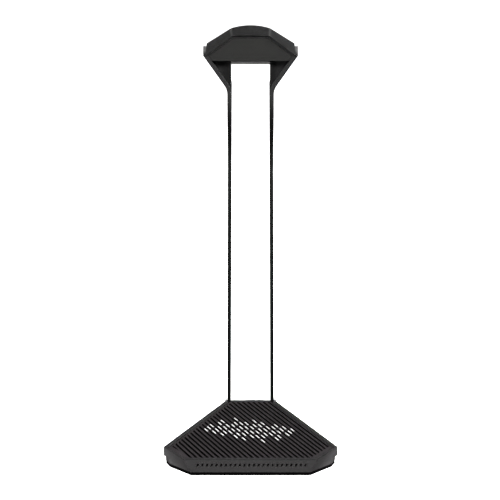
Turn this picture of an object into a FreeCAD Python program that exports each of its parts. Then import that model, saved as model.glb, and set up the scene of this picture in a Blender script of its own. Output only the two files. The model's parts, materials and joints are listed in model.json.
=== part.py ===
import FreeCAD, Part
import math
import os

# Free-standing headphone stand, in millimetres.
# +Z is up, the stand faces -Y, and the two legs rise from the back of the base.
# The outlines are drawn with the back edge of the base's deck at y = 0 and moved,
# at export, so that the origin is the centre of the underside's bounding box.

# ---- base ------------------------------------------------------------------
MAT_T = 1.6                      # rubber mat under the base
MAT_LOW_Z = -0.5                 # its underside; the stand is raised by this much when exported
MAT_INSET = 0.15                 # mat's edge inside the base's lower edge
FLOOR_T = 1.4                    # floor of the bottom tray
DECK_Z = 10.2                    # top face of the base
SKIRT_Z = 4.9                    # lower edge of the cover's side skirts
WALL = 1.8                       # moulded wall thickness
CLEAR = 0.2                      # gap between two mouldings
SIDE_REVEAL = 1.3                # how far the tray stands in from the cover's sides
BACK_CORNER = (17.0, -2.2)       # where the side edge meets the block round the legs
TIP = (53.8, -81.8)              # widest point of the base
FRONT_CORNER = (40.9, -101.8)    # end of the straight front edge, at deck height
LOW_TIP_A_Y = -82.1              # the tip is cut off below the skirts, from here
LOW_TIP_B = (50.0, -88.4)        # to here
NOSE_BACK_Y = -77.5              # the cover reaches down to the mat in front of this
LOW_FRONT = (36.4, -101.8)       # end of the front edge at the underside
BACK_Y = 7.0                     # rear face of the block that holds the legs
BACK_Z = 7.4                     # top of that rear face; the deck slopes down to it
REAR_LIP_X = -2.7                # left end of the low lip behind the deck
REAR_LIP_W = 10.8
REAR_LIP_DROP = 0.15             # the lip's top lies this far below the deck
REAR_LIP_DEPTH = 1.2
REAR_LIP_ROOT = 0.5              # how far the lip starts in front of the frame's origin line
INLAY_SWELL_LOW = 0.35           # share of the full reach left between two lobes
SEAT_Y = -0.8                    # rear end of the deck's own outline
FAR = 90.0                       # a distance well outside the base
NOSE_SPARE = 3.0                 # how far the trimming form runs past the base, up and down

# ---- ribbed panel let into the deck ------------------------------------------
PANEL_T = 3.0
PANEL_SEAT_T = 0.9               # cover wall left under the panel
RIM = {"side": 3.6, "chamfer": 1.3, "front": 1.5, "back": 2.2}
JOINT = {"side": 1.45, "chamfer": 0.12, "front": 0.12, "back": 0.5}
BORDER = {"side": 0.9, "chamfer": 3.3, "front": 0.9, "back": 0.9}
RIB_PITCH_X = 3.42               # rib spacing along the front edge
RIB_SHARE = 0.46                 # rib width over pitch
GROOVE_DEPTH = 2.1
SMALLEST_GROOVE = 4.0            # volume under which a corner groove is left out
INLAY_W = 0.62                   # light dashes let on to the ribs, a sound-wave pattern
INLAY_T = 0.12
INLAY_RIBS = 17
INLAY_CENTRE = (-2.0, -54.0)
INLAY_DASH = 5.0
INLAY_PITCH = 8.2                # dash spacing along a rib
INLAY_REACH = 46.0               # length of the tallest row of dashes
INLAY_TAPER = 1.3                # how far round a half wave the ends of the pattern come
INLAY_LOBES = 2.5                # swells of the wave from the middle to each end

# ---- ballast and fasteners in the base -----------------------------------------
BALLAST_T = 3.0
BALLAST_GAP = 3.0                # gap between the ballast and the cover's walls
COVER_SCREW_XY = ((10.5, -17.0), (43.5, -80.0), (0.0, -93.0))
BALLAST_SCREW_XY = ((0.0, -30.0), (27.0, -84.0))
BOSS_R = 3.0
COVER_SCREW_R = 1.3
BALLAST_SCREW_R = 1.25

# ---- slots in the front wall ------------------------------------------------------
SLOT_COUNT = 24
SLOT_PITCH = 2.85
SLOT_W = 1.25
SLOT_LOW_Z = 5.1
SLOT_HIGH_Z = 7.1
SLOT_LEAN = 0.6                  # sideways lean of each slot over its height

# ---- legs: one bent and tapered flat steel bar each side -----------------------------
BAR_T = 2.4
LEG_FOOT_X = 14.28               # bar's middle at the foot
LEG_TOP_X = 13.05                # bar's middle just under the bend
FOOT_Z = MAT_T + FLOOR_T + BAR_T / 2.0
FOOT_END_X = 1.5
FOOT_BEND_R = 2.5
BRIDGE_T = 0.8
ARM_BEND_Z = 225.5
ARM_BEND_R = 11.0
ARM_ANGLE = 35.0                 # arm's lean from the vertical, degrees
ARM_END_Z = 246.0                # level of the arm's end face
ARM_SPARE = 1.25                 # the arm is drawn longer than it is, then cut to length
ARM_SPLAY = 1.1                  # how much further out the arm's end is at the rear
LEG_BACK_Y = 5.0
LEG_FRONT_Y = -2.6
HANGER_FRONT_Y = -34.5
SWEEP_TOP_Z = 221.0              # the bar starts to narrow here
SWEEP_LOW_Z = 166.0              # and has its slender width from here down
SLOT_CLEAR = 0.15                # clearance round each leg in the cover

# ---- hanger ------------------------------------------------------------------------------
CREASE_X = (11.4, 12.4)          # creases between the pad's facets: front end, rear end
CREASE_Z = (258.5, 257.2)
PAD_END_X = 27.8
PAD_END_Z = (246.1, 247.6)
PAD_CROWN = (0.7, 1.9)           # rise of the middle facet between its creases
PAD_T = 0.8
PAD_OVERHANG = 0.6               # pad stands out past the saddle, front and back
SADDLE_T = 0.8
WEB_BACKSET = 5.2                # web's front face behind the arms' front edges
WEB_T = 1.6
WINDOW_X = 11.85
WINDOW_TOP_Z = 240.4
FASCIA_T = 1.6
FASCIA_BACKSET = 0.35
FASCIA_LOW_Z = 242.75
FASCIA_GAP = 0.15
PEG_R = 2.2
PEG_CAP_R = 3.1
PEG_CAP_T = 1.0
PEG_Y = (-23.2, -5.0)
SPACER_X = 15.0
SPACER_Z = 246.6
SPACER_R = 2.75
SCREW_R = 1.5
FOOT_HEAD_R = 2.6

V = FreeCAD.Vector
LEAN = math.radians(ARM_ANGLE)


def face_of(points):
    """Closed face through a list of vectors."""
    return Part.Face(Part.makePolygon(points + [points[0]]))


def prism(outline, low, high):
    """Upright prism over a plan outline of (x, y) points."""
    return face_of([V(x, y, low) for x, y in outline]).extrude(V(0, 0, high - low))


def prism_y(outline, front, back):
    """Prism along Y over an outline of (x, z) points."""
    return face_of([V(x, front, z) for x, z in outline]).extrude(V(0, back - front, 0))


def prism_x(outline, left, right):
    """Prism along X over an outline of (y, z) points."""
    return face_of([V(left, y, z) for y, z in outline]).extrude(V(right - left, 0, 0))


def cylinder(x, y, low, high, radius):
    return Part.makeCylinder(radius, high - low, V(x, y, low))


def cylinder_y(x, z, front, back, radius):
    return Part.makeCylinder(radius, back - front, V(x, front, z), V(0, 1, 0))


def cone(x, y, low, high, low_r, high_r):
    return Part.makeCone(low_r, high_r, high - low, V(x, y, low))


def mirrored(shape):
    return shape.mirror(V(0, 0, 0), V(1, 0, 0))


def both_sides(points):
    """Each (x, y) off the centre line, with its mirror image."""
    full = []
    for x, y in points:
        full.append((x, y))
        if x:
            full.append((-x, y))
    return full


def whole_outline(half):
    """Closed outline from its right-hand half, listed from back to front."""
    return half + [(-x, y) for x, y in reversed(half)]


def inset(outline, amounts):
    """Clockwise outline with each edge moved inwards by its own amount."""
    lines = []
    count = len(outline)
    for i in range(count):
        x0, y0 = outline[i]
        x1, y1 = outline[(i + 1) % count]
        length = math.hypot(x1 - x0, y1 - y0)
        nx = (y1 - y0) / length
        ny = -(x1 - x0) / length
        lines.append((nx, ny, nx * x0 + ny * y0 + amounts[i]))
    moved = []
    for i in range(count):
        a0, b0, c0 = lines[i - 1]
        a1, b1, c1 = lines[i]
        det = a0 * b1 - a1 * b0
        moved.append(((c0 * b1 - c1 * b0) / det, (a0 * c1 - a1 * c0) / det))
    return moved


def one_solid(shape):
    """The shape's largest solid, with seams between coplanar faces removed."""
    solids = shape.removeSplitter().Solids
    return max(solids, key=lambda solid: solid.Volume)


# ---- outlines of the base ---------------------------------------------------------------
COVER_OUTLINE = whole_outline([(BACK_CORNER[0], BACK_Y), BACK_CORNER, TIP, FRONT_CORNER])
SIDE_SLOPE = (TIP[0] - BACK_CORNER[0]) / (BACK_CORNER[1] - TIP[1])
REVEALED = inset(COVER_OUTLINE, [SIDE_REVEAL] * len(COVER_OUTLINE))
LOW_TIP_A = (REVEALED[1][0] + (REVEALED[1][1] - LOW_TIP_A_Y) * SIDE_SLOPE, LOW_TIP_A_Y)
LOW_OUTLINE = whole_outline([REVEALED[0], REVEALED[1], LOW_TIP_A, LOW_TIP_B, LOW_FRONT])
DECK_OUTLINE = whole_outline([
    (BACK_CORNER[0] + (BACK_CORNER[1] - SEAT_Y) * SIDE_SLOPE, SEAT_Y), TIP, FRONT_CORNER])
FLOOR_Z = MAT_T + FLOOR_T
PANEL_Z = DECK_Z - PANEL_T
CAVITY_Z = PANEL_Z - PANEL_SEAT_T


def deck_inset(*tables):
    """Deck outline moved in by the sum of the tables' amounts for each kind of edge."""
    kinds = ("side", "chamfer", "front", "chamfer", "side", "back")
    return inset(DECK_OUTLINE, [sum(table[kind] for table in tables) for kind in kinds])


def nose(margin=0.0):
    """Everything inside the front and chamfer faces, which turn under towards the floor."""
    moves = [0.0, 0.0, margin, margin, margin, 0.0, 0.0, 0.0]
    wires = []
    for z in (MAT_T - NOSE_SPARE, DECK_Z + NOSE_SPARE):
        share = (z - MAT_T) / (DECK_Z - MAT_T)
        tip = between(LOW_TIP_B, TIP, share)
        corner = between(LOW_FRONT, FRONT_CORNER, share)
        beyond = between(corner, tip, 1.4)
        outline = inset(whole_outline([(FAR, FAR), (FAR, beyond[1]), beyond, corner]), moves)
        points = [V(x, y, z) for x, y in outline]
        wires.append(Part.makePolygon(points + [points[0]]))
    width = prism(whole_outline([(TIP[0] - margin, FAR), (TIP[0] - margin, -FAR * 1.3)]),
                  MAT_T - NOSE_SPARE, DECK_Z + NOSE_SPARE)
    return Part.makeLoft(wires, True, True).common(width)


def between(a, b, share):
    """Point a given share of the way from a to b, or beyond b."""
    return tuple(p + (q - p) * share for p, q in zip(a, b))


def past_nose(outline):
    """Outline with its front and chamfer edges moved out, for the nose to trim."""
    count = len(outline)
    moves = [0.0] * count
    for i in (count // 2 - 2, count // 2 - 1, count // 2):
        moves[i] = -4.0
    return inset(outline, moves)


def leg_slots(margin):
    """Upright holes in the base that the two legs pass through."""
    half = BAR_T / 2.0 + margin
    slot = prism_y([
        (LEG_FOOT_X - half, MAT_T), (LEG_FOOT_X + half, MAT_T),
        (LEG_FOOT_X + half, DECK_Z + 1.0), (LEG_FOOT_X - half, DECK_Z + 1.0)],
        LEG_FRONT_Y - margin, LEG_BACK_Y + margin)
    return slot.fuse(mirrored(slot))


def front_slots():
    """Row of small leaning slots through the front wall."""
    slots = []
    front = FRONT_CORNER[1]
    for i in range(SLOT_COUNT):
        x = (i - (SLOT_COUNT - 1) / 2.0) * SLOT_PITCH
        outline = [
            (x - SLOT_LEAN / 2.0, SLOT_LOW_Z), (x - SLOT_LEAN / 2.0 + SLOT_W, SLOT_LOW_Z),
            (x + SLOT_LEAN / 2.0 + SLOT_W, SLOT_HIGH_Z), (x + SLOT_LEAN / 2.0, SLOT_HIGH_Z)]
        slots.append(prism_y(outline, front - 1.0, front + WALL + 1.0))
    return slots


def ahead_of(y):
    """Everything in front of a plane across the base."""
    return prism([(-FAR, -FAR * 1.3), (FAR, -FAR * 1.3), (FAR, y), (-FAR, y)], 0.0, DECK_Z + 1.0)


def base_cover():
    """Upper shell: skirts at the sides, a full-height nose, a seat for the panel."""
    skirt = prism(past_nose(COVER_OUTLINE), SKIRT_Z, DECK_Z)
    front = prism(past_nose(LOW_OUTLINE), MAT_T, SKIRT_Z).common(ahead_of(NOSE_BACK_Y))
    body = skirt.fuse(front).common(nose())
    slope = prism_x([(0.0, DECK_Z), (BACK_Y + 1.0, DECK_Z - (DECK_Z - BACK_Z) * (BACK_Y + 1.0) / BACK_Y),
                     (BACK_Y + 1.0, DECK_Z + 1.0), (0.0, DECK_Z + 1.0)], -FAR, FAR)
    body = body.cut(slope)
    lip_at = V(REAR_LIP_X, -REAR_LIP_ROOT, DECK_Z - WALL)
    body = body.fuse(Part.makeBox(REAR_LIP_W, REAR_LIP_DEPTH, WALL - REAR_LIP_DROP, lip_at))
    inner = past_nose(inset(COVER_OUTLINE, [WALL] * len(COVER_OUTLINE)))
    low_inner = past_nose(inset(LOW_OUTLINE, [WALL] * len(LOW_OUTLINE)))
    cavity = prism(inner, SKIRT_Z, CAVITY_Z).fuse(prism(low_inner, 0.0, SKIRT_Z)).common(nose(WALL))
    bosses = [cylinder(x, y, FLOOR_Z, CAVITY_Z, BOSS_R) for x, y in both_sides(COVER_SCREW_XY)]
    pilots = [cylinder(x, y, 0.0, CAVITY_Z - 0.3, COVER_SCREW_R) for x, y in both_sides(COVER_SCREW_XY)]
    recess = prism(inset(deck_inset(RIM), [-JOINT[k] for k in
                                           ("side", "chamfer", "front", "chamfer", "side", "back")]),
                   PANEL_Z, DECK_Z + 1.0)
    shell = body.cut([cavity, recess] + front_slots())
    shell = shell.fuse(bosses).cut(pilots)
    return one_solid(shell.cut(leg_slots(SLOT_CLEAR)))


def ribbed_panel():
    """Inset panel with slanting ribs that run parallel to the right-hand side edge."""
    body = prism(deck_inset(RIM), PANEL_Z, DECK_Z)
    field = prism(deck_inset(RIM, BORDER), DECK_Z - GROOVE_DEPTH, DECK_Z + 1.0)
    grooves = []
    for x in rib_stations():
        start = x + RIB_PITCH_X * RIB_SHARE
        grooves.append(prism(rib_strip(start, start + RIB_PITCH_X * (1.0 - RIB_SHARE)),
                             DECK_Z - GROOVE_DEPTH, DECK_Z + 1.0).common(field))
    return one_solid(body.cut([groove for groove in grooves if groove.Volume > SMALLEST_GROOVE]))


def rib_stations():
    """Where each rib's left edge would cross the front edge of the deck."""
    first = -int(TIP[0] / RIB_PITCH_X)
    last = int((TIP[0] + (TIP[1] - FRONT_CORNER[1]) * SIDE_SLOPE) / RIB_PITCH_X)
    return [i * RIB_PITCH_X for i in range(first, last + 1)]


def rib_strip(left, right):
    """Slanting strip between two crossings of the front edge."""
    front = FRONT_CORNER[1]
    run = (BACK_Y - front) * SIDE_SLOPE
    return [(left, front), (left - run, BACK_Y), (right - run, BACK_Y), (right, front)]


def rib_inlays():
    """Light dashes on the rib tops, in taller and shorter rows like a sound wave."""
    along = V(-SIDE_SLOPE, 1.0, 0).normalize()
    across = V(along.y, -along.x, 0)
    bars = []
    middle = (INLAY_RIBS - 1) / 2.0
    for i in range(INLAY_RIBS):
        share = (i - middle) / middle
        lobe = abs(math.cos(share * INLAY_LOBES * math.pi))
        swell = INLAY_SWELL_LOW + (1.0 - INLAY_SWELL_LOW) * lobe
        row = INLAY_REACH * math.cos(share * INLAY_TAPER) * swell
        count = max(1, round(row / INLAY_PITCH))
        centre = inlay_centre(i - middle)
        for k in range(count):
            shift = (k - (count - 1) / 2.0) * INLAY_PITCH
            bars.append(inlay_bar(centre, along, across, shift, INLAY_DASH))
    return Part.makeCompound(bars)


def inlay_centre(step):
    """Middle of the rib top that lies a number of ribs from the pattern's centre."""
    x, y = INLAY_CENTRE
    crossing = x + (y - FRONT_CORNER[1]) * SIDE_SLOPE
    nearest = min(rib_stations(), key=lambda station: abs(station - crossing))
    middle = nearest + step * RIB_PITCH_X + RIB_PITCH_X * RIB_SHARE / 2.0
    return V(middle - (y - FRONT_CORNER[1]) * SIDE_SLOPE, y, DECK_Z)


def inlay_bar(centre, along, across, shift, length):
    """One flat bar on a rib top, a given distance along the rib from the centre."""
    ends = [centre + along * (shift - length / 2.0), centre + along * (shift + length / 2.0)]
    side = across * (INLAY_W / 2.0)
    corners = [ends[0] - side, ends[0] + side, ends[1] + side, ends[1] - side]
    return face_of(corners).extrude(V(0, 0, INLAY_T))


def base_tray():
    """Bottom shell: a floor and a low wall, inside the cover's skirts and nose."""
    top = SKIRT_Z - CLEAR
    fit = WALL + CLEAR * 2.0
    within = prism(inset(LOW_OUTLINE, [fit] * len(LOW_OUTLINE)), MAT_T, top)
    body = prism(LOW_OUTLINE, MAT_T, top).cut(ahead_of(NOSE_BACK_Y + CLEAR)).fuse(within)
    body = one_solid(body)
    hollow = prism(inset(LOW_OUTLINE, [fit + WALL] * len(LOW_OUTLINE)), FLOOR_Z, SKIRT_Z)
    body = body.cut(hollow)
    bosses = []
    holes = []
    for x, y in both_sides(BALLAST_SCREW_XY):
        bosses.append(cylinder(x, y, FLOOR_Z, FLOOR_Z + BALLAST_T - 1.4, 2.6))
        holes.append(cylinder(x, y, MAT_T + 0.6, SKIRT_Z, BALLAST_SCREW_R))
    for x, y in both_sides(COVER_SCREW_XY):
        holes.append(cylinder(x, y, 0.0, SKIRT_Z, COVER_SCREW_R + 0.2))
        holes.append(cone(x, y, MAT_T, MAT_T + 1.1, 2.6, COVER_SCREW_R + 0.2))
    for x, y in foot_screw_places():
        holes.append(cylinder(x, y, 0.0, SKIRT_Z, SCREW_R + 0.1))
        holes.append(cone(x, y, MAT_T, MAT_T + 1.1, FOOT_HEAD_R, SCREW_R + 0.1))
    return one_solid(body.fuse(bosses).cut(holes).cut(leg_wells()))


def leg_wells():
    """Room in the tray's low wall for the feet of the legs."""
    half = LEG_FOOT_X + BAR_T / 2.0 + SLOT_CLEAR
    return prism([(-half, LEG_FRONT_Y - SLOT_CLEAR), (half, LEG_FRONT_Y - SLOT_CLEAR),
                  (half, LEG_BACK_Y + SLOT_CLEAR), (-half, LEG_BACK_Y + SLOT_CLEAR)], FLOOR_Z, DECK_Z)


def ballast_plate():
    """Steel plate that keeps the stand from tipping."""
    edge = WALL + CLEAR + WALL + BALLAST_GAP
    outline = inset(DECK_OUTLINE, [edge, edge, edge, edge, edge, WALL + CLEAR + 6.0])
    plate = prism(outline, FLOOR_Z, FLOOR_Z + BALLAST_T)
    holes = [cylinder(x, y, FLOOR_Z, DECK_Z, BOSS_R + 0.4) for x, y in both_sides(COVER_SCREW_XY)]
    for x, y in both_sides(BALLAST_SCREW_XY):
        holes.append(cylinder(x, y, FLOOR_Z, DECK_Z, 2.8))
        holes.append(cylinder(x, y, FLOOR_Z + BALLAST_T - 1.4, DECK_Z, 3.6))
    return one_solid(plate.cut(holes))


def ballast_screws():
    """Pan-head screws into the tray's bosses; their heads hold the ballast down."""
    seat = FLOOR_Z + BALLAST_T - 1.4
    screws = []
    for x, y in both_sides(BALLAST_SCREW_XY):
        head = cylinder(x, y, seat, seat + 1.2, 3.3)
        drive = cylinder(x, y, seat + 0.5, seat + 2.0, 1.0)
        shank = cylinder(x, y, MAT_T + 0.8, seat, BALLAST_SCREW_R)
        screws.append(one_solid(head.fuse(shank).cut(drive)))
    return Part.makeCompound(screws)


def countersunk(x, y, tip_z, radius, head_r, hole_r):
    """Countersunk screw driven from below, its head flush with the tray's underside."""
    head = cone(x, y, MAT_T, MAT_T + 1.1, head_r, hole_r)
    shank = cylinder(x, y, MAT_T + 1.1, tip_z, radius)
    drive = cylinder(x, y, 0.0, MAT_T + 0.7, 0.9)
    return one_solid(head.fuse(shank).cut(drive))


def cover_screws():
    return Part.makeCompound([
        countersunk(x, y, CAVITY_Z - 0.6, COVER_SCREW_R, 2.6, COVER_SCREW_R + 0.2)
        for x, y in both_sides(COVER_SCREW_XY)])


def foot_screw_places():
    y = (LEG_FRONT_Y + LEG_BACK_Y) / 2.0
    return both_sides([(4.6, y), (10.0, y)])


def foot_screws():
    return Part.makeCompound([
        countersunk(x, y, FOOT_Z + BAR_T / 2.0 + BRIDGE_T, SCREW_R, FOOT_HEAD_R, SCREW_R + 0.1)
        for x, y in foot_screw_places()])


def foot_bridge():
    """Tapped steel bar that clamps both feet down on the tray."""
    low = FOOT_Z + BAR_T / 2.0
    end = LEG_FOOT_X - FOOT_BEND_R - 0.1
    bar = prism([(-end, LEG_FRONT_Y), (end, LEG_FRONT_Y),
                 (end, LEG_BACK_Y), (-end, LEG_BACK_Y)], low, low + BRIDGE_T)
    return one_solid(bar.cut([cylinder(x, y, 0.0, DECK_Z, SCREW_R) for x, y in foot_screw_places()]))


def anti_slip_mat():
    """Rubber sheet on the underside, set a little in from the edge."""
    outline = inset(LOW_OUTLINE, [MAT_INSET] * len(LOW_OUTLINE))
    return prism(outline, MAT_LOW_Z, MAT_T)


def bar_path(share=0.0):
    """Middle line of the right-hand bar in the XZ plane: foot, upright, outward arm.

    The share runs from 0 at the hanger's front to 1 at its rear, where the arm splays out.
    """
    foot_end = V(FOOT_END_X, 0, FOOT_Z)
    heel = V(LEG_FOOT_X, 0, FOOT_Z)
    bend = V(LEG_TOP_X, 0, ARM_BEND_Z)
    rise = ARM_END_Z - ARM_BEND_Z
    arm = V(rise * math.tan(LEAN) + ARM_SPLAY * share, 0, rise)
    return [foot_end, heel, bend, bend + arm * ARM_SPARE]


def bent_strip(path, radii, half):
    """Outline of a strip that follows a path of straight runs joined by tangent bends."""
    sides = []
    for sign in (-1.0, 1.0):
        edges = []
        offset = offset_points(path, sign * half)
        start = offset[0]
        for i in range(1, len(path) - 1):
            before = (path[i] - path[i - 1]).normalize()
            after = (path[i + 1] - path[i]).normalize()
            turn = before.getAngle(after)
            hand = -1.0 if before.cross(after).y > 0 else 1.0
            radius = radii[i - 1] + sign * hand * half
            trim = radius * math.tan(turn / 2.0)
            enter = offset[i] - before * trim
            leave = offset[i] + after * trim
            middle = offset[i] + (after - before).normalize() * radius * (1.0 / math.cos(turn / 2.0) - 1.0)
            edges.append(Part.makeLine(start, enter))
            edges.append(Part.Arc(enter, middle, leave).toShape())
            start = leave
        edges.append(Part.makeLine(start, offset[-1]))
        sides.append((offset[0], offset[-1], edges))
    low, high = sides
    loop = low[2] + [Part.makeLine(low[1], high[1])] + high[2] + [Part.makeLine(high[0], low[0])]
    return Part.Wire(Part.__sortEdges__(loop))


def offset_points(path, distance):
    """Corners of the path's parallel at a distance, in the XZ plane."""
    normals = []
    for a, b in zip(path, path[1:]):
        run = (b - a).normalize()
        normals.append(V(run.z, 0, -run.x))
    points = [path[0] + normals[0] * distance]
    for i in range(1, len(path) - 1):
        both = (normals[i - 1] + normals[i]).normalize()
        points.append(path[i] + both * (distance / both.dot(normals[i])))
    points.append(path[-1] + normals[-1] * distance)
    return points


def bar_profile():
    """Side view of the bar: deep at the arm, swept back to a slender upright."""
    top = ARM_END_Z
    reach = SWEEP_TOP_Z - SWEEP_LOW_Z
    curve = Part.BezierCurve()
    curve.setPoles([
        V(0, HANGER_FRONT_Y, SWEEP_TOP_Z), V(0, HANGER_FRONT_Y, SWEEP_TOP_Z - reach * 0.42),
        V(0, LEG_FRONT_Y, SWEEP_LOW_Z + reach * 0.5), V(0, LEG_FRONT_Y, SWEEP_LOW_Z)])
    corners = [V(0, LEG_FRONT_Y, SWEEP_LOW_Z), V(0, LEG_FRONT_Y, 0), V(0, LEG_BACK_Y, 0),
               V(0, LEG_BACK_Y, top), V(0, HANGER_FRONT_Y, top), V(0, HANGER_FRONT_Y, SWEEP_TOP_Z)]
    edges = [curve.toShape()]
    for a, b in zip(corners, corners[1:]):
        edges.append(Part.makeLine(a, b))
    face = Part.Face(Part.Wire(Part.__sortEdges__(edges)))
    return face.extrude(V(PAD_END_X + 10.0, 0, 0))


def whole_bar():
    """Right-hand bar at the hanger's full depth all the way down."""
    wires = []
    for share in (0.0, 1.0):
        wire = bent_strip(bar_path(share), [FOOT_BEND_R, ARM_BEND_R], BAR_T / 2.0)
        wire.translate(V(0, HANGER_FRONT_Y + (LEG_BACK_Y - HANGER_FRONT_Y) * share, 0))
        wires.append(wire)
    return Part.makeLoft(wires, True, True)


def right_leg():
    """Right-hand bar: foot, upright and arm, cut to its side view."""
    bar = whole_bar().common(bar_profile()).cut(over_saddle())
    holes = [cylinder(x, y, 0.0, DECK_Z, SCREW_R + 0.1) for x, y in foot_screw_places()]
    return one_solid(bar.cut(holes))


def facet_line(depth, end):
    """Inner and outer end of the right-hand facet's line, a depth under the pad's top.

    The end is 0 for the front of the pad and 1 for its rear.
    """
    lean = facet_lean(end)
    inner = (CREASE_X[end] - depth * math.tan(lean / 2.0), CREASE_Z[end] - depth)
    return inner, (PAD_END_X, inner[1] - (PAD_END_X - inner[0]) * math.tan(lean))


def facet_lean(end):
    return math.atan2(CREASE_Z[end] - PAD_END_Z[end], PAD_END_X - CREASE_X[end])


def lofted(outlines):
    """Solid between an (x, z) outline at the pad's front edge and one at its rear edge."""
    wires = []
    for outline, y in zip(outlines, (HANGER_FRONT_Y - PAD_OVERHANG, LEG_BACK_Y + PAD_OVERHANG)):
        points = [V(x, y, z) for x, z in outline]
        wires.append(Part.makePolygon(points + [points[0]]))
    return Part.makeLoft(wires, True, True)


def facet_band(top_depth, low_depth):
    """Three-facet sheet between two depths under the pad's top."""
    outlines = []
    for end in (0, 1):
        inner, tip = facet_line(top_depth, end)
        low_inner, low_tip = facet_line(low_depth, end)
        outlines.append(whole_outline([inner, tip, low_tip, low_inner]))
    return lofted(outlines)


def slab(front, back):
    """Everything between two planes across the hanger."""
    return prism_y([(-FAR, 0.0), (FAR, 0.0), (FAR, CREASE_Z[0] + FAR), (-FAR, CREASE_Z[0] + FAR)], front, back)


def over_saddle():
    """The pad's own space and all above it; the arms' ends are cut away there."""
    outlines = []
    for end in (0, 1):
        inner, tip = facet_line(PAD_T, end)
        outlines.append(whole_outline([inner, tip, (PAD_END_X, CREASE_Z[0] + 5.0)]))
    return lofted(outlines)


def peg_places():
    """Axis of each right-hand peg: a point on the sloping facet and the way out of it."""
    places = []
    for y in PEG_Y:
        share = (y - HANGER_FRONT_Y) / (LEG_BACK_Y - HANGER_FRONT_Y)
        lean = facet_lean(0) + (facet_lean(1) - facet_lean(0)) * share
        x = (sum(CREASE_X) / 2.0 + PAD_END_X) / 2.0
        z = (sum(CREASE_Z) + sum(PAD_END_Z)) / 4.0
        places.append((V(x, y, z), V(math.sin(lean), 0, math.cos(lean))))
    return places


def peg_cylinder(place, radius):
    """Long cylinder square to the right-hand facet."""
    middle, outward = place
    return Part.makeCylinder(radius, 20.0, middle - outward * 10.0, outward)


def cradle_pad():
    """Soft pad of three facets; the middle one is crowned, more so at the rear."""
    wires = []
    for end, y in ((0, HANGER_FRONT_Y - PAD_OVERHANG), (1, LEG_BACK_Y + PAD_OVERHANG)):
        crease, tip = [V(x, y, z) for x, z in facet_line(0.0, end)]
        low_crease, low_tip = [V(x, y, z) for x, z in facet_line(PAD_T, end)]
        top = V(0, y, CREASE_Z[end] + PAD_CROWN[end])
        edges = [Part.makeLine(flip(tip), flip(crease)), Part.Arc(flip(crease), top, crease).toShape()]
        corners = [crease, tip, low_tip, low_crease, flip(low_crease), flip(low_tip), flip(tip)]
        for a, b in zip(corners, corners[1:]):
            edges.append(Part.makeLine(a, b))
        wires.append(Part.Wire(edges))
    return Part.makeLoft(wires, True, True)


def flip(point):
    return V(-point.x, point.y, point.z)


def pad_pegs():
    """Rubber pegs under the pad, snapped through the saddle with a wide cap below."""
    under = PAD_T + SADDLE_T
    pegs = []
    for place in peg_places():
        stem = peg_cylinder(place, PEG_R).common(facet_band(PAD_T, under))
        cap = peg_cylinder(place, PEG_CAP_R).common(facet_band(under, under + PEG_CAP_T))
        peg = one_solid(stem.fuse(cap))
        pegs += [peg, mirrored(peg)]
    return Part.makeCompound(pegs)


def saddle_plate():
    """Steel sheet under the pad, folded to three facets and set between the arms."""
    sheet = facet_band(PAD_T, PAD_T + SADDLE_T).common(slab(HANGER_FRONT_Y, LEG_BACK_Y))
    holes = []
    for place in peg_places():
        hole = peg_cylinder(place, PEG_R)
        holes += [hole, mirrored(hole)]
    return one_solid(sheet.cut(holes).common(between_arms(0.0)))


def between_arms(gap):
    """Space between the two arms' inner faces, less a gap."""
    wires = []
    for share in (0.0, 1.0):
        line = offset_points(bar_path(share), -(BAR_T / 2.0 + gap))
        y = HANGER_FRONT_Y + (LEG_BACK_Y - HANGER_FRONT_Y) * share
        corner = (line[2].x, line[2].z)
        half = [between(corner, (line[3].x, line[3].z), 2.0), corner, (corner[0], corner[1] - 15.0)]
        points = [V(x, y, z) for x, z in whole_outline(half)]
        wires.append(Part.makePolygon(points + [points[0]]))
    return Part.makeLoft(wires, True, True)


def under_saddle(gap, low_z, front, back):
    """Plate that fills the hanger under the saddle, down to a level."""
    outlines = []
    for end in (0, 1):
        inner, tip = facet_line(PAD_T + SADDLE_T + gap, end)
        beyond = between(inner, tip, 1.4)
        outlines.append(whole_outline([inner, beyond, (beyond[0], low_z)]))
    return lofted(outlines).common(between_arms(gap)).common(slab(front, back))


def window_cut():
    low = ARM_BEND_Z - 30.0
    return prism_y([(-WINDOW_X, low), (WINDOW_X, low), (WINDOW_X, WINDOW_TOP_Z),
                    (-WINDOW_X, WINDOW_TOP_Z)], HANGER_FRONT_Y - 5.0, LEG_BACK_Y + 5.0)


def hanger_web():
    """Stiffening sheet a little behind the fascia, with two gussets beside the window."""
    front = HANGER_FRONT_Y + WEB_BACKSET
    low_z = ARM_BEND_Z - ARM_BEND_R * math.tan(LEAN / 2.0) - 0.5
    sheet = under_saddle(0.0, low_z, front, front + WEB_T).cut(bar_space())
    flange = prism_y([(WINDOW_X, low_z), (WINDOW_X + 0.9, low_z),
                      (WINDOW_X + 0.9, FASCIA_LOW_Z + 0.5), (WINDOW_X, FASCIA_LOW_Z + 0.5)],
                     front - 1.6, front).cut(bar_space())
    sheet = sheet.fuse([flange, mirrored(flange)]).cut(window_cut())
    holes = [cylinder_y(x, z, front - 1.0, front + WEB_T + 1.0, SPACER_R) for x, z in spacer_places()]
    return one_solid(sheet.cut(holes))


def bar_space():
    """The volume that both legs take up, before they are cut to their side view."""
    bar = whole_bar()
    return bar.fuse(mirrored(bar))


def spacer_places():
    return [(SPACER_X, SPACER_Z), (-SPACER_X, SPACER_Z)]


def fascia():
    """Front plate, let in between the arms and under the saddle's edge."""
    front = HANGER_FRONT_Y + FASCIA_BACKSET
    return one_solid(under_saddle(FASCIA_GAP, FASCIA_LOW_Z, front, front + FASCIA_T))


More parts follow.
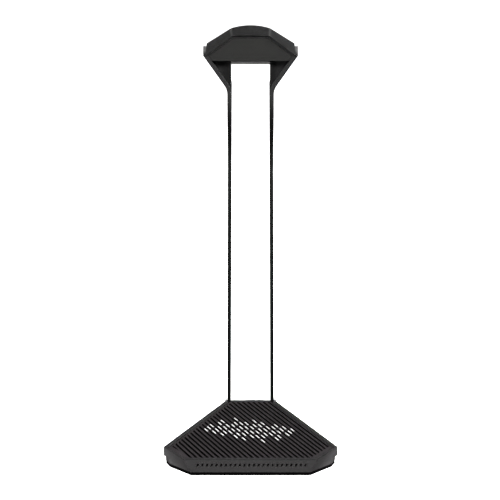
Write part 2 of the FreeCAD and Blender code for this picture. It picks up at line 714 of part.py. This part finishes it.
def rear_plate():
    """Matching plate at the back of the hanger, drilled for its two screws."""
    back = LEG_BACK_Y - FASCIA_BACKSET
    plate = under_saddle(FASCIA_GAP, FASCIA_LOW_Z, back - FASCIA_T, back)
    holes = [cylinder_y(x, z, back - 5.0, back + 5.0, SCREW_R + 0.1) for x, z in spacer_places()]
    return one_solid(plate.cut(holes))


def cross_bar():
    """Tie between the web and the fascia over the window, with a bevelled lower lip."""
    front = HANGER_FRONT_Y + FASCIA_BACKSET + FASCIA_T
    back = HANGER_FRONT_Y + WEB_BACKSET
    return prism_x([(front, WINDOW_TOP_Z + 0.3), (front + 0.3, WINDOW_TOP_Z), (back, WINDOW_TOP_Z),
                    (back, FASCIA_LOW_Z + 1.5), (front, FASCIA_LOW_Z + 1.5)],
                   -WINDOW_X + 0.05, WINDOW_X - 0.05)


def hanger_spacers():
    """Tapped spacers between the fascia and the rear plate."""
    front = HANGER_FRONT_Y + FASCIA_BACKSET + FASCIA_T
    back = LEG_BACK_Y - FASCIA_BACKSET - FASCIA_T
    tubes = []
    for x, z in spacer_places():
        rod = cylinder_y(x, z, front, back, SPACER_R)
        tubes.append(rod.cut(cylinder_y(x, z, back - 10.0, back, SCREW_R)))
    return Part.makeCompound(tubes)


def hanger_screws():
    """Button-head screws through the rear plate into the spacers."""
    back = LEG_BACK_Y - FASCIA_BACKSET
    screws = []
    for x, z in spacer_places():
        head = cylinder_y(x, z, back, back + 1.5, 2.75)
        rim = [edge for edge in head.Edges if abs(edge.CenterOfMass.y - back - 1.5) < 0.01]
        head = head.makeFillet(0.8, rim)
        shank = cylinder_y(x, z, back - FASCIA_T - 8.0, back, SCREW_R)
        drive = hexagon_y(x, z, back + 0.5, back + 3.0, 1.0)
        screws.append(one_solid(head.fuse(shank).cut(drive)))
    return Part.makeCompound(screws)


def hexagon_y(x, z, front, back, radius):
    corners = []
    for i in range(6):
        angle = math.radians(60.0 * i)
        corners.append((x + radius * math.cos(angle), z + radius * math.sin(angle)))
    return prism_y(corners, front, back)


def right_collar():
    """Flared steel collar on the outer side of the right leg, where it leaves the base."""
    inner = LEG_FOOT_X + BAR_T / 2.0 - 0.02
    outline = [(inner + SLOT_CLEAR, DECK_Z - 1.2), (BACK_CORNER[0], DECK_Z - 1.2),
               (BACK_CORNER[0], DECK_Z + 0.25), (inner + SLOT_CLEAR, DECK_Z + 1.1)]
    return prism_y(outline, LEG_FRONT_Y - SLOT_CLEAR, -0.2)


# ---- export --------------------------------------------------------------------------------
def build_nodes():
    """Every sub-part of the stand by name."""
    leg = right_leg()
    collar = right_collar()
    cover = one_solid(base_cover().cut([collar, mirrored(collar)]))
    return {
        "anti_slip_mat": anti_slip_mat(),
        "base_tray": base_tray(),
        "ballast_plate": ballast_plate(),
        "ballast_screws": ballast_screws(),
        "base_cover": cover,
        "cover_screws": cover_screws(),
        "ribbed_panel": ribbed_panel(),
        "rib_inlays": rib_inlays(),
        "foot_bridge": foot_bridge(),
        "foot_screws": foot_screws(),
        "right_leg": leg,
        "left_leg": mirrored(leg),
        "right_collar": collar,
        "left_collar": mirrored(collar),
        "hanger_web": hanger_web(),
        "fascia": fascia(),
        "cross_bar": cross_bar(),
        "rear_plate": rear_plate(),
        "hanger_spacers": hanger_spacers(),
        "hanger_screws": hanger_screws(),
        "saddle_plate": saddle_plate(),
        "cradle_pad": cradle_pad(),
        "pad_pegs": pad_pegs(),
    }


def main():
    os.makedirs("parts", exist_ok=True)
    shift = V(0, -(BACK_Y + FRONT_CORNER[1]) / 2.0, -MAT_LOW_Z)
    for name, shape in build_nodes().items():
        shape.translate(shift)
        shape.exportStep("parts/" + name + ".step")
        print(name, len(shape.Solids), shape.isValid(), round(shape.Volume, 1))


main()
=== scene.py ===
import json
import math

import bmesh
import bpy
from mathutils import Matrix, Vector


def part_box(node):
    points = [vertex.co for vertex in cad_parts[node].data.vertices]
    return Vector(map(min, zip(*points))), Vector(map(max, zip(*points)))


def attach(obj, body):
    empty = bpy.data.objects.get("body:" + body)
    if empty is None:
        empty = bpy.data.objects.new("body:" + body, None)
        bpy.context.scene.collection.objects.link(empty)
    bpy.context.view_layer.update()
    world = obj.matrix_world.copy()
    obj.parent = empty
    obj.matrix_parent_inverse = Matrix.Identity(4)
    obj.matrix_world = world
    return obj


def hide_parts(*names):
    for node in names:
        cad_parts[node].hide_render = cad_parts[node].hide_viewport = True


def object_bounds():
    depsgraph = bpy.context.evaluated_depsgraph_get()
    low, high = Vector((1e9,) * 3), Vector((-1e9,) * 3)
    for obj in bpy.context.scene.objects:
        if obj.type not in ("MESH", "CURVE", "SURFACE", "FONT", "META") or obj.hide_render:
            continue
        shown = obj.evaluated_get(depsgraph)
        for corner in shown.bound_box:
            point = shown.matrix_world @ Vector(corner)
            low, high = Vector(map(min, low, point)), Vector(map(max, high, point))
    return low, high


MM = 0.001

# ---- pad (the sections of the CAD solid it stands for), millimetres --------------
# each pair is the value at the front edge and at the rear edge
PAD_CREASE_X = (11.4, 12.4)
PAD_CREASE_Z = (259.0, 257.7)
PAD_END_X = 27.8
PAD_END_Z = (246.6, 248.1)
PAD_CROWN = (0.7, 1.9)
PAD_T = 0.8
PAD_LIP = 0.6                # the pad stands out past the saddle by this, as a thin lip
PAD_LIP_T = 0.3
PAD_EDGE_R = 0.15            # rounding of the front, rear and outer edges
PAD_STEP = 0.24              # spacing of the mesh over the pad
CROWN_STEPS = 48
FACET_STEPS = 80
EDGE_STEPS = 5
CREASE_BLUR = 4              # steps each side over which a crease is rounded
HATCH_PITCH = 2.2
HATCH_DEPTH = 0.13
HATCH_MARGIN = 1.0           # plain border round the hatching
HATCH_FADE = 0.4             # width over which the hatching fades in from that border

# ---- tones, set against the photo, so they carry some of its lighting ----------------
# painted highlight laid along the pad's creases
PAD_CREASE_HIGHLIGHT = (0.03, 0.03, 0.0295)
# painted shade in the panel's grooves
GROOVE_SHADE = (0.0012, 0.0011, 0.0011)
GROOVE_SHADE_DEPTH = 0.0004        # metres below the ribs' tops over which the grooves are painted black, as shade
# painted light and shade by height: steps are (height in metres, share of the material's own tone there);
# a tilt adds that much of a point's depth to its height
# painted light and shade on the legs: dark at the feet, lighter up the arms, the arms' rear ends lit to
# eighteen times their tone
LEG_PAINTED_LIGHT = ((0.03, 0.25), (0.15, 0.6), (0.215, 2.3), (0.245, 2.4), (0.2515, 2.4), (0.2545, 18.0))
LEG_LIGHT_TILT = 0.25
# painted light on the pad: darker towards its front edge, lighter towards its rear
PAD_PAINTED_LIGHT = ((0.29, 0.65), (0.41, 1.2))
PAD_LIGHT_TILT = 3.0
# painted shade: the base moulding darkened to 0.4 of its tone on its top, above 10.6 mm
BASE_PAINTED_SHADE = ((0.0099, 1.0), (0.0106, 0.4))
STREAK_PITCH = 0.0022        # metres
STREAK_STRETCH = 0.12        # noise scale along a streak, as a share of the scale across it
STREAK_TURN = -35.0          # degrees from the depth direction
STREAK_SHARE = 0.45

# ---- rounding of the hard edges, millimetres ---------------------------------------
ROUNDED = {
    "base_cover": 0.3, "base_tray": 0.25, "ribbed_panel": 0.15, "right_leg": 0.25, "left_leg": 0.25,
    "hanger_web": 0.2, "fascia": 0.25, "cross_bar": 0.25, "saddle_plate": 0.15, "anti_slip_mat": 0.15,
    "rear_plate": 0.2,
}
WELD_GAP = 0.00001           # metres
FLAT_ANGLE = 1.0             # degrees: neighbouring facets flatter than this become one face
ROUND_ANGLE = 28.0           # degrees: only edges sharper than this are rounded
ROUND_SEGMENTS = 3

# ---- camera and light ---------------------------------------------------------------
CAMERA_AT = (-0.00035, -1.0154, 0.4106)
CAMERA_PITCH = 74.42
CAMERA_LENS = 122.4
WORLD_LOW = 0.01
WORLD_HIGH = 0.03
# name, place, what it points at, width and height, power
SOFTBOXES = (
    ("key", (0.0, -1.25, 1.4), (0.0, 0.0, 0.15), (0.9, 0.5), 60.0),
    ("left_front", (-1.3, -0.9, 0.35), (0.0, 0.0, 0.10), (0.5, 0.7), 25.0),
    ("right_front", (1.3, -0.9, 0.35), (0.0, 0.0, 0.10), (0.5, 0.7), 5.0),
    ("left_side", (-1.4, -0.1, 0.62), (0.0, 0.0, 0.22), (0.5, 0.4), 35.0),
    ("right_side", (1.4, -0.1, 0.62), (0.0, 0.0, 0.22), (0.5, 0.4), 30.0),
    ("hanger_side", (0.55, -0.15, 0.42), (0.0, 0.035, 0.258), (0.3, 0.25), 8.0),
)

FLOOR_RADIUS = 8.0
FLOOR_GAP = 0.0002           # the floor lies this far below the mat, so that the two don't flicker
DOME_RADIUS = 9.0

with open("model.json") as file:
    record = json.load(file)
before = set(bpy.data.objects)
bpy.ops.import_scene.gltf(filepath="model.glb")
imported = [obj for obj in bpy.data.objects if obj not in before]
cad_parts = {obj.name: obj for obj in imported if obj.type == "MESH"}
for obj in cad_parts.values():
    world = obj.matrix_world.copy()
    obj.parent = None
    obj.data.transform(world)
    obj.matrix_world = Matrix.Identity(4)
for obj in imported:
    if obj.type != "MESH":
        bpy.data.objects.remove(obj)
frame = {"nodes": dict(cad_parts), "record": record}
cad_low, cad_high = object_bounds()
nodes = frame["nodes"]


# ---- materials ----------------------------------------------------------------------
def new_material(name):
    material = bpy.data.materials.new(name)
    material.use_nodes = True
    tree = material.node_tree
    tree.nodes.clear()
    out = tree.nodes.new("ShaderNodeOutputMaterial")
    shader = tree.nodes.new("ShaderNodeBsdfPrincipled")
    tree.links.new(shader.outputs["BSDF"], out.inputs["Surface"])
    return material, tree, shader


def noise(tree, coords, scale, detail=3.0, rough=0.55):
    node = tree.nodes.new("ShaderNodeTexNoise")
    node.inputs["Scale"].default_value = scale
    node.inputs["Detail"].default_value = detail
    node.inputs["Roughness"].default_value = rough
    tree.links.new(coords, node.inputs["Vector"])
    return node.outputs["Fac"]


def spread(tree, value, low, high, start=0.3, end=0.7):
    node = tree.nodes.new("ShaderNodeMapRange")
    node.inputs["From Min"].default_value = start
    node.inputs["From Max"].default_value = end
    node.inputs["To Min"].default_value = low
    node.inputs["To Max"].default_value = high
    tree.links.new(value, node.inputs["Value"])
    return node.outputs["Result"]


def two_tone(tree, value, dark, light):
    node = tree.nodes.new("ShaderNodeMix")
    node.data_type = "RGBA"
    node.inputs[6].default_value = (*dark, 1.0)
    node.inputs[7].default_value = (*light, 1.0)
    tree.links.new(value, node.inputs[0])
    return node.outputs[2]


def bump(tree, height, distance, strength, below=None):
    node = tree.nodes.new("ShaderNodeBump")
    node.inputs["Distance"].default_value = distance
    node.inputs["Strength"].default_value = strength
    tree.links.new(height, node.inputs["Height"])
    if below is not None:
        tree.links.new(below, node.inputs["Normal"])
    return node.outputs["Normal"]


def grained(name, color, rough, specular, grain, relief, metallic=0.0, swirl=0.12, stretch=(1.0, 1.0, 1.0)):
    """Coated or moulded surface: a fine grain, a slow mottling of tone, uneven gloss."""
    material, tree, shader = new_material(name)
    coords = tree.nodes.new("ShaderNodeTexCoord").outputs["Object"]
    mapping = tree.nodes.new("ShaderNodeMapping")
    mapping.inputs["Scale"].default_value = stretch
    tree.links.new(coords, mapping.inputs["Vector"])
    vector = mapping.outputs["Vector"]
    fine = noise(tree, vector, 1.0 / grain, 4.0, 0.6)
    broad = noise(tree, vector, 1.0 / (grain * 40.0), 2.0, 0.5)
    dark = [c * (1.0 - swirl) for c in color]
    light = [c * (1.0 + swirl) for c in color]
    tree.links.new(two_tone(tree, spread(tree, broad, 0.0, 1.0), dark, light), shader.inputs["Base Color"])
    tree.links.new(spread(tree, fine, rough - 0.06, rough + 0.06), shader.inputs["Roughness"])
    shader.inputs["Specular IOR Level"].default_value = specular
    shader.inputs["Metallic"].default_value = metallic
    low = bump(tree, broad, grain * 1.5, 0.15)
    tree.links.new(bump(tree, fine, grain * relief, 0.6, low), shader.inputs["Normal"])
    return material


def painted_groove_shade(material, top, depth, dark):
    """Painted shade: dull black for whatever lies below a height of the object, as between ribs."""
    tree = material.node_tree
    shader = tree.nodes["Principled BSDF"]
    out = tree.nodes["Material Output"]
    coords = tree.nodes.new("ShaderNodeTexCoord").outputs["Object"]
    split = tree.nodes.new("ShaderNodeSeparateXYZ")
    tree.links.new(coords, split.inputs["Vector"])
    level = spread(tree, split.outputs["Z"], 0.0, 1.0, top - depth, top)
    groove_shade_bsdf = tree.nodes.new("ShaderNodeBsdfPrincipled")
    groove_shade_bsdf.inputs["Base Color"].default_value = (*dark, 1.0)
    groove_shade_bsdf.inputs["Roughness"].default_value = 0.9
    groove_shade_bsdf.inputs["Specular IOR Level"].default_value = 0.02
    mix = tree.nodes.new("ShaderNodeMixShader")
    tree.links.new(level, mix.inputs[0])
    tree.links.new(groove_shade_bsdf.outputs["BSDF"], mix.inputs[1])
    tree.links.new(shader.outputs["BSDF"], mix.inputs[2])
    tree.links.new(mix.outputs["Shader"], out.inputs["Surface"])


def painted_crease_highlight(material, light):
    """Painted highlight: lighten the surface where the mesh's crease mask says, along the creases."""
    tree = material.node_tree
    shader = tree.nodes["Principled BSDF"]
    crease_mask = tree.nodes.new("ShaderNodeAttribute")
    crease_mask.attribute_name = "crease_highlight"
    link = shader.inputs["Base Color"].links[0]
    mix = tree.nodes.new("ShaderNodeMix")
    mix.data_type = "RGBA"
    mix.inputs[7].default_value = (*light, 1.0)
    tree.links.new(crease_mask.outputs["Fac"], mix.inputs[0])
    tree.links.new(link.from_socket, mix.inputs[6])
    tree.links.new(mix.outputs[2], shader.inputs["Base Color"])


def scale_color(tree, shader, factor):
    """Multiply whatever already feeds the base colour by a factor."""
    link = shader.inputs["Base Color"].links[0]
    scale = tree.nodes.new("ShaderNodeVectorMath")
    scale.operation = "SCALE"
    tree.links.new(link.from_socket, scale.inputs["Vector"])
    tree.links.new(factor, scale.inputs["Scale"])
    tree.links.new(scale.outputs["Vector"], shader.inputs["Base Color"])


def painted_light_by_height(material, steps, tilt=0.0):
    """Paint light and shade into the surface tone by height; steps are (z, factor), and tilt adds depth to
    height.
    """
    tree = material.node_tree
    shader = tree.nodes["Principled BSDF"]
    coords = tree.nodes.new("ShaderNodeTexCoord").outputs["Object"]
    split = tree.nodes.new("ShaderNodeSeparateXYZ")
    tree.links.new(coords, split.inputs["Vector"])
    slant = tree.nodes.new("ShaderNodeMath")
    slant.operation = "MULTIPLY_ADD"
    slant.inputs[1].default_value = tilt
    tree.links.new(split.outputs["Y"], slant.inputs[0])
    tree.links.new(split.outputs["Z"], slant.inputs[2])
    total = None
    for (low, a), (high, b) in zip(steps, steps[1:]):
        part = spread(tree, slant.outputs["Value"], 0.0, b - a, low, high)
        add = tree.nodes.new("ShaderNodeMath")
        add.inputs[1].default_value = steps[0][1]
        tree.links.new(part, add.inputs[0])
        if total is not None:
            tree.links.new(total, add.inputs[1])
        total = add.outputs["Value"]
    scale_color(tree, shader, total)


def streak_tone(material):
    """Faint long streaks across the surface, lighter and darker by a share."""
    tree = material.node_tree
    shader = tree.nodes["Principled BSDF"]
    coords = tree.nodes.new("ShaderNodeTexCoord").outputs["Object"]
    mapping = tree.nodes.new("ShaderNodeMapping")
    mapping.inputs["Rotation"].default_value = (0.0, 0.0, math.radians(STREAK_TURN))
    mapping.inputs["Scale"].default_value = (1.0, STREAK_STRETCH, 1.0)
    tree.links.new(coords, mapping.inputs["Vector"])
    wave = noise(tree, mapping.outputs["Vector"], 1.0 / STREAK_PITCH, 2.0, 0.5)
    factor = spread(tree, wave, 1.0 - STREAK_SHARE, 1.0 + STREAK_SHARE)
    scale_color(tree, shader, factor)


def brushed(name, color, rough, along, grain=0.00012):
    """Bare steel with fine drawn lines."""
    stretch = [1.0, 1.0, 1.0]
    stretch[along] = 0.03
    return grained(name, color, rough, 0.5, grain, 0.3, metallic=1.0, swirl=0.08, stretch=stretch)


MATERIALS = {
    "rubber_mat": grained("matte_rubber_sheet", (0.0008, 0.0008, 0.0008), 0.9, 0.01, 0.0004, 0.5),
    "moulded_plastic": grained("textured_moulding", (0.0195, 0.0186, 0.0189), 0.52, 0.42, 0.0003, 0.35),
    "panel_plastic": grained("ribbed_moulding", (0.0128, 0.0112, 0.0119), 0.66, 0.10, 0.0003, 0.35),
    "fascia_plastic": grained("smooth_moulding", (0.0063, 0.0063, 0.0058), 0.6, 0.18, 0.00035, 0.2),
    # painted light: the bar under the fascia is given a far lighter tone than the fascia's own plastic
    "bar_plastic": grained("lip_moulding_painted_light", (0.07, 0.07, 0.068), 0.5, 0.5, 0.00035, 0.2),
    "powder_steel": grained("powder_coat", (0.0088, 0.0088, 0.0088), 0.55, 0.08, 0.00025, 0.45),
    "satin_steel": brushed("satin_steel_ring", (0.42, 0.42, 0.43), 0.35, 2),
    "bare_steel": brushed("drawn_steel", (0.5, 0.5, 0.51), 0.35, 0),
    "zinc_screw": brushed("zinc_plate", (0.58, 0.58, 0.57), 0.3, 2),
    "black_screw": grained("black_oxide", (0.012, 0.012, 0.013), 0.4, 0.5, 0.0002, 0.2),
    "inlay_white": grained("satin_white_ink", (0.42, 0.42, 0.415), 0.5, 0.4, 0.0002, 0.15, swirl=0.03),
    "pad_rubber": grained("soft_silicone", (0.0078, 0.0078, 0.0078), 0.6, 0.18, 0.0003, 0.3),
}
# the legs have a coat of their own, because painted light and shade vary its tone along their height
LEG_COAT = grained("leg_powder_coat", (0.005, 0.005, 0.005), 0.55, 0.08, 0.00025, 0.45)
# painted shade in the panel's grooves
painted_groove_shade(MATERIALS["panel_plastic"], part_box("ribbed_panel")[1][2], GROOVE_SHADE_DEPTH, GROOVE_SHADE)
# painted highlight along the pad's creases
painted_crease_highlight(MATERIALS["pad_rubber"], PAD_CREASE_HIGHLIGHT)
# painted light and shade along the legs' height
painted_light_by_height(LEG_COAT, LEG_PAINTED_LIGHT, LEG_LIGHT_TILT)
# painted light on the pad, from front to rear
painted_light_by_height(MATERIALS["pad_rubber"], PAD_PAINTED_LIGHT, PAD_LIGHT_TILT)
streak_tone(MATERIALS["pad_rubber"])
# painted shade on the top of the base moulding
painted_light_by_height(MATERIALS["moulded_plastic"], BASE_PAINTED_SHADE)


def dress(node, slot):
    obj = nodes[node]
    obj.data.materials.clear()
    obj.data.materials.append(MATERIALS[slot])


def soften(node, width):
    """Small rounding on the hard edges of a solid, as a moulding or bent bar has."""
    obj = nodes[node]
    weld = obj.modifiers.new("weld", "WELD")
    weld.merge_threshold = WELD_GAP
    flat = obj.modifiers.new("flat_faces", "DECIMATE")
    flat.decimate_type = "DISSOLVE"
    flat.angle_limit = math.radians(FLAT_ANGLE)
    round_off = obj.modifiers.new("rounding", "BEVEL")
    round_off.width = width * MM
    round_off.segments = ROUND_SEGMENTS
    round_off.limit_method = "ANGLE"
    round_off.angle_limit = math.radians(ROUND_ANGLE)
    round_off.harden_normals = True
    round_off.use_clamp_overlap = True


for entry in frame["record"]["subparts"]:
    dress(entry["node"], entry["material_slot"])
for name in ("right_leg", "left_leg"):
    nodes[name].data.materials[0] = LEG_COAT
for name, width in ROUNDED.items():
    soften(name, width)


# ---- pad ------------------------------------------------------------------------------
def new_piece(name, bm, material):
    mesh = bpy.data.meshes.new(name)
    bm.to_mesh(mesh)
    bm.free()
    obj = bpy.data.objects.new(name, mesh)
    bpy.context.scene.collection.objects.link(obj)
    mesh.materials.append(material)
    return obj


def pad_half(share):
    """Right half of the pad's top section, from the middle to the outer end."""
    crease_x, crease_z, end_z, crown = [a + (b - a) * share for a, b in (
        PAD_CREASE_X, PAD_CREASE_Z, PAD_END_Z, PAD_CROWN)]
    radius = (crease_x ** 2 + crown ** 2) / (2.0 * crown)
    points = []
    for i in range(CROWN_STEPS):
        x = crease_x * i / CROWN_STEPS
        points.append((x, crease_z + crown - radius + math.sqrt(radius ** 2 - x ** 2)))
    for i in range(FACET_STEPS + 1):
        t = i / FACET_STEPS
        points.append((crease_x + (PAD_END_X - crease_x) * t, crease_z + (end_z - crease_z) * t))
    return points


def softened(points):
    """Section line with its creases rounded by a running mean; the ends stay."""
    out = []
    last = len(points) - 1
    for i in range(last + 1):
        reach = min(CREASE_BLUR, i, last - i)
        near = points[i - reach:i + reach + 1]
        out.append((sum(p[0] for p in near) / len(near), sum(p[1] for p in near) / len(near)))
    return out


def outward_normals(points):
    out = []
    for i in range(len(points)):
        a = points[max(i - 1, 0)]
        b = points[min(i + 1, len(points) - 1)]
        length = math.dist(a, b)
        out.append(((a[1] - b[1]) / length, (b[0] - a[0]) / length))
    return out


def hatch(s, y, run, front, back):
    """Height of the diagonal hatching on a sloping facet; s is the distance from the crease."""
    edge = min(s - HATCH_MARGIN, run - HATCH_MARGIN - s, y - front - HATCH_MARGIN, back - HATCH_MARGIN - y)
    if edge <= 0.0:
        return 0.0
    phase = (s + y) / math.sqrt(2.0) / HATCH_PITCH
    wave = 0.5 - 0.5 * math.cos(2.0 * math.pi * phase)
    return -HATCH_DEPTH * wave ** 2 * min(1.0, edge / HATCH_FADE)


def pad_stations(front, back):
    """(y, how far the section is pulled in, thickness) from the front edge to the rear edge."""
    edge = []
    for i in range(EDGE_STEPS + 1):
        angle = math.pi / 2.0 * i / EDGE_STEPS
        edge.append((PAD_EDGE_R * (1.0 - math.cos(angle)), PAD_EDGE_R * (1.0 - math.sin(angle)), PAD_LIP_T))
    edge.append((PAD_LIP, 0.0, PAD_LIP_T))
    edge.append((PAD_LIP, 0.0, PAD_T))
    depth = back - front - 2.0 * PAD_LIP
    rows = round(depth / PAD_STEP)
    stations = [(front + step, pull, thick) for step, pull, thick in edge]
    stations += [(front + PAD_LIP + depth * i / rows, 0.0, PAD_T) for i in range(1, rows)]
    stations += [(back - step, pull, thick) for step, pull, thick in reversed(edge)]
    return stations


def pad_ring(y, pull, thick, front, back):
    """Section of the pad from left to right: its top line and its underside."""
    share = (y - front) / (back - front)
    half = pad_half(share)
    crease = half[CROWN_STEPS]
    run = math.dist(crease, half[-1])
    top = softened([(-x, z) for x, z in reversed(half[1:])] + half)
    sunk = []
    for (x, z), (nx, nz) in zip(top, outward_normals(top)):
        s = (abs(x) - crease[0]) * run / (PAD_END_X - crease[0])
        near_end = min(max(0.0, PAD_EDGE_R - (PAD_END_X - abs(x))), PAD_EDGE_R)
        drop = PAD_EDGE_R - math.sqrt(PAD_EDGE_R ** 2 - near_end ** 2)
        lift = hatch(s, y, run, front, back) - pull - drop
        squeeze = 1.0 - pull / PAD_END_X
        sunk.append((x * squeeze + nx * lift, z + nz * lift))
    fall = (crease[1] - half[-1][1]) / (PAD_END_X - crease[0])
    inner_x = crease[0] - thick * math.tan(math.atan(fall) / 2.0)
    under = [(x, crease[1] - thick - max(0.0, abs(x) - inner_x) * fall) for x, z in sunk]
    return sunk, under


def build_pad():
    low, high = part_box("cradle_pad")
    front, back = low[1] / MM, high[1] / MM
    bm = bmesh.new()
    # mask for the painted highlight along the pad's creases
    crease_highlight = bm.verts.layers.float.new("crease_highlight")
    rings = []
    for y, pull, thick in pad_stations(front, back):
        top, under = pad_ring(y, pull, thick, front, back)
        count = len(top)
        ring = []
        for i, (x, z) in enumerate(top + list(reversed(under))):
            vert = bm.verts.new(Vector((x, y, z)) * MM)
            from_crease = min(abs(i - FACET_STEPS), abs(i - FACET_STEPS - 2 * CROWN_STEPS))
            vert[crease_highlight] = max(0.0, 1.0 - from_crease / CREASE_BLUR)
            ring.append(vert)
        rings.append(ring)
    for a, b in zip(rings, rings[1:]):
        for i in range(2 * count):
            j = (i + 1) % (2 * count)
            bm.faces.new((a[i], a[j], b[j], b[i]))
    for ring in (rings[0], rings[-1]):
        for i in range(count - 1):
            bm.faces.new((ring[i], ring[i + 1], ring[2 * count - 2 - i], ring[2 * count - 1 - i]))
    bmesh.ops.recalc_face_normals(bm, faces=bm.faces)
    for face in bm.faces:
        face.smooth = True
    pad = new_piece("soft_pad", bm, MATERIALS["pad_rubber"])
    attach(pad, "root")
    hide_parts("cradle_pad")


build_pad()


# ---- stage ------------------------------------------------------------------------------
def only_seen(obj):
    """Seen by the camera, but lights nothing and is not mirrored in anything."""
    obj.visible_diffuse = False
    obj.visible_glossy = False
    obj.visible_transmission = False


def build_floor():
    """Floor that glows white, so it stays plain white and shows no shadow."""
    bm = bmesh.new()
    bmesh.ops.create_circle(bm, cap_ends=True, radius=FLOOR_RADIUS, segments=64)
    material, tree, shader = new_material("white_sweep")
    coords = tree.nodes.new("ShaderNodeTexCoord").outputs["Object"]
    cloud = noise(tree, coords, 1.5, 2.0)
    tree.links.new(two_tone(tree, cloud, (0.93, 0.93, 0.93), (0.95, 0.95, 0.95)), shader.inputs["Base Color"])
    shader.inputs["Roughness"].default_value = 0.9
    shader.inputs["Specular IOR Level"].default_value = 0.0
    shader.inputs["Emission Color"].default_value = (1.0, 1.0, 1.0, 1.0)
    shader.inputs["Emission Strength"].default_value = 1.0
    floor = new_piece("floor", bm, material)
    floor.location.z = cad_low[2] - FLOOR_GAP
    only_seen(floor)


def build_backdrop():
    """White dome far behind everything, for the views that look past the floor."""
    bm = bmesh.new()
    bmesh.ops.create_uvsphere(bm, u_segments=48, v_segments=24, radius=DOME_RADIUS)
    material, _, shader = new_material("white_dome")
    shader.inputs["Base Color"].default_value = (0.0, 0.0, 0.0, 1.0)
    shader.inputs["Specular IOR Level"].default_value = 0.0
    shader.inputs["Emission Color"].default_value = (1.0, 1.0, 1.0, 1.0)
    shader.inputs["Emission Strength"].default_value = 1.0
    dome = new_piece("backdrop", bm, material)
    dome.visible_shadow = False
    only_seen(dome)


def build_world():
    """Studio light from all round: bright overhead, dim near the floor."""
    world = bpy.data.worlds.new("studio")
    bpy.context.scene.world = world
    world.use_nodes = True
    tree = world.node_tree
    back = tree.nodes["Background"]
    coords = tree.nodes.new("ShaderNodeTexCoord").outputs["Generated"]
    split = tree.nodes.new("ShaderNodeSeparateXYZ")
    tree.links.new(coords, split.inputs["Vector"])
    strength = spread(tree, split.outputs["Z"], WORLD_LOW, WORLD_HIGH, -0.4, 0.9)
    tree.links.new(strength, back.inputs["Strength"])
    back.inputs["Color"].default_value = (1.0, 1.0, 1.0, 1.0)


def add_softbox(name, at, aim, size, power):
    light = bpy.data.lights.new(name, "AREA")
    light.shape = "RECTANGLE"
    light.size, light.size_y = size
    light.energy = power
    lamp = bpy.data.objects.new(name, light)
    lamp.visible_camera = False
    lamp.location = at
    direction = Vector(aim) - Vector(at)
    lamp.rotation_euler = direction.to_track_quat("-Z", "Y").to_euler()
    bpy.context.scene.collection.objects.link(lamp)


def add_camera():
    data = bpy.data.cameras.new("camera")
    data.lens = CAMERA_LENS
    data.sensor_width = 36.0
    data.clip_end = 50.0
    camera = bpy.data.objects.new("camera", data)
    camera.location = CAMERA_AT
    camera.rotation_euler = (math.radians(CAMERA_PITCH), 0.0, 0.0)
    bpy.context.scene.collection.objects.link(camera)
    bpy.context.scene.camera = camera


build_floor()
build_backdrop()
build_world()
for box in SOFTBOXES:
    add_softbox(*box)
add_camera()
bpy.context.scene.view_settings.view_transform = "Standard"
bpy.context.scene.view_settings.look = "None"
